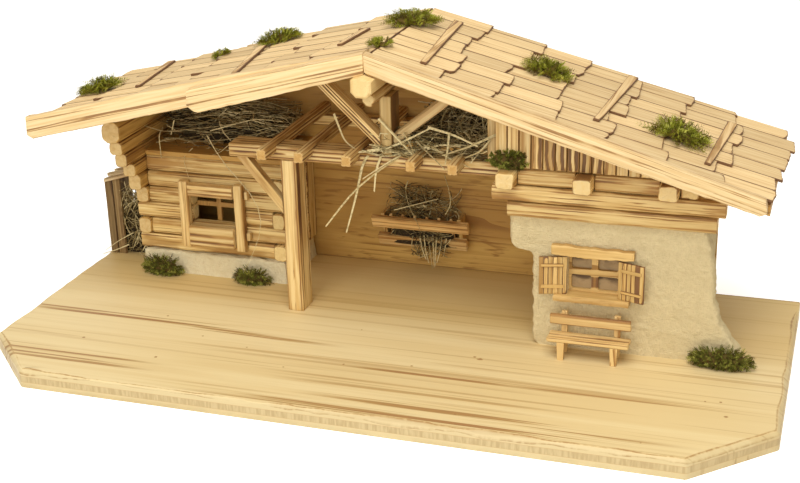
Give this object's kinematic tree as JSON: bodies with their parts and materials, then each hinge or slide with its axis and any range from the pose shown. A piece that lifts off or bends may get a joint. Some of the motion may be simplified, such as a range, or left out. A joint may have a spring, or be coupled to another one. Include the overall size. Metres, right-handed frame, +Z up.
{
  "type": "nativity stable",
  "caption": "Wooden alpine nativity stable with a log hut, open stall, hayrack and plastered house with hinged shutters under a low shingled roof on one board.",
  "frame": {"origin": "under the middle of the whole stable, on the surface that it stands on", "axes": "+X along the front to the house on the right, +Y to the back wall, +Z up"},
  "size_m": [0.75, 0.3617, 0.3073],
  "materials": {
    "spruce_panel": "pale planed spruce with scorched grain",
    "hewn_timber": "hewn spruce logs and beams, torch-scorched edges",
    "scorched_boards": "split spruce boards with scorched edges",
    "joinery": "small sawn spruce slats, darkened grain",
    "plaster": "rough trowelled cream plaster",
    "hay": "dry grass stalks",
    "moss": "dried green moss",
    "wire": "plain steel wire"
  },
  "bodies": {
    "stable": {"back_wall": "spruce_panel", "base_board": "spruce_panel", "beam_moss": "moss", "bench_legs": "joinery", "bench_slats": "joinery", "eave_purlin": "hewn_timber", "gable_boards": "scorched_boards", "gable_post": "hewn_timber", "ground_moss": "moss", "house_front_beams": "hewn_timber", "house_front_wall": "plaster", "house_joists": "hewn_timber", "house_left_wall": "plaster", "house_right_wall": "plaster", "house_side_logs": "hewn_timber", "house_top_logs": "hewn_timber", "hut_ceiling": "spruce_panel", "hut_front_logs": "hewn_timber", "hut_hay": "hay", "hut_left_logs": "hewn_timber", "hut_plinth": "plaster", "hut_right_logs": "hewn_timber", "hut_window_cross": "hewn_timber", "hut_window_posts": "hewn_timber", "hut_window_rails": "hewn_timber", "king_post": "hewn_timber", "lean_to_hay": "hay", "lean_to_planks": "joinery", "lean_to_roof": "joinery", "left_bargeboards": "scorched_boards", "left_roof_deck": "spruce_panel", "left_shingles": "scorched_boards", "left_strut": "hewn_timber", "loft_hay": "hay", "loft_joists": "hewn_timber", "main_post": "hewn_timber", "post_brace": "hewn_timber", "rack_brackets": "joinery", "rack_hay": "hay", "rack_rungs": "joinery", "rack_slats": "joinery", "rear_beam": "hewn_timber", "ridge_purlin": "hewn_timber", "right_bargeboard": "scorched_boards", "right_roof_deck": "spruce_panel", "right_shingles": "scorched_boards", "right_strut": "hewn_timber", "roof_battens": "scorched_boards", "roof_moss": "moss", "shutter_pins": "wire", "tie_beam": "hewn_timber", "under_purlin": "hewn_timber", "window_lintel": "joinery", "window_sash": "joinery", "window_sill": "joinery"},
    "left_shutter_leaf": {"left_shutter": "joinery", "left_shutter_battens": "joinery"},
    "right_shutter_leaf": {"right_shutter": "joinery", "right_shutter_battens": "joinery"}
  },
  "joints": [
    {"name": "left_shutter_hinge", "type": "hinge", "parent": "stable", "child": "left_shutter_leaf", "pos_m": [0.17, -0.0035, 0.09225], "axis": [0, 0, -1], "range_deg": [-166, 12]},
    {"name": "right_shutter_hinge", "type": "hinge", "parent": "stable", "child": "right_shutter_leaf", "pos_m": [0.22, -0.0035, 0.09225], "axis": [0, 0, 1], "range_deg": [-162, 16]}
  ]
}
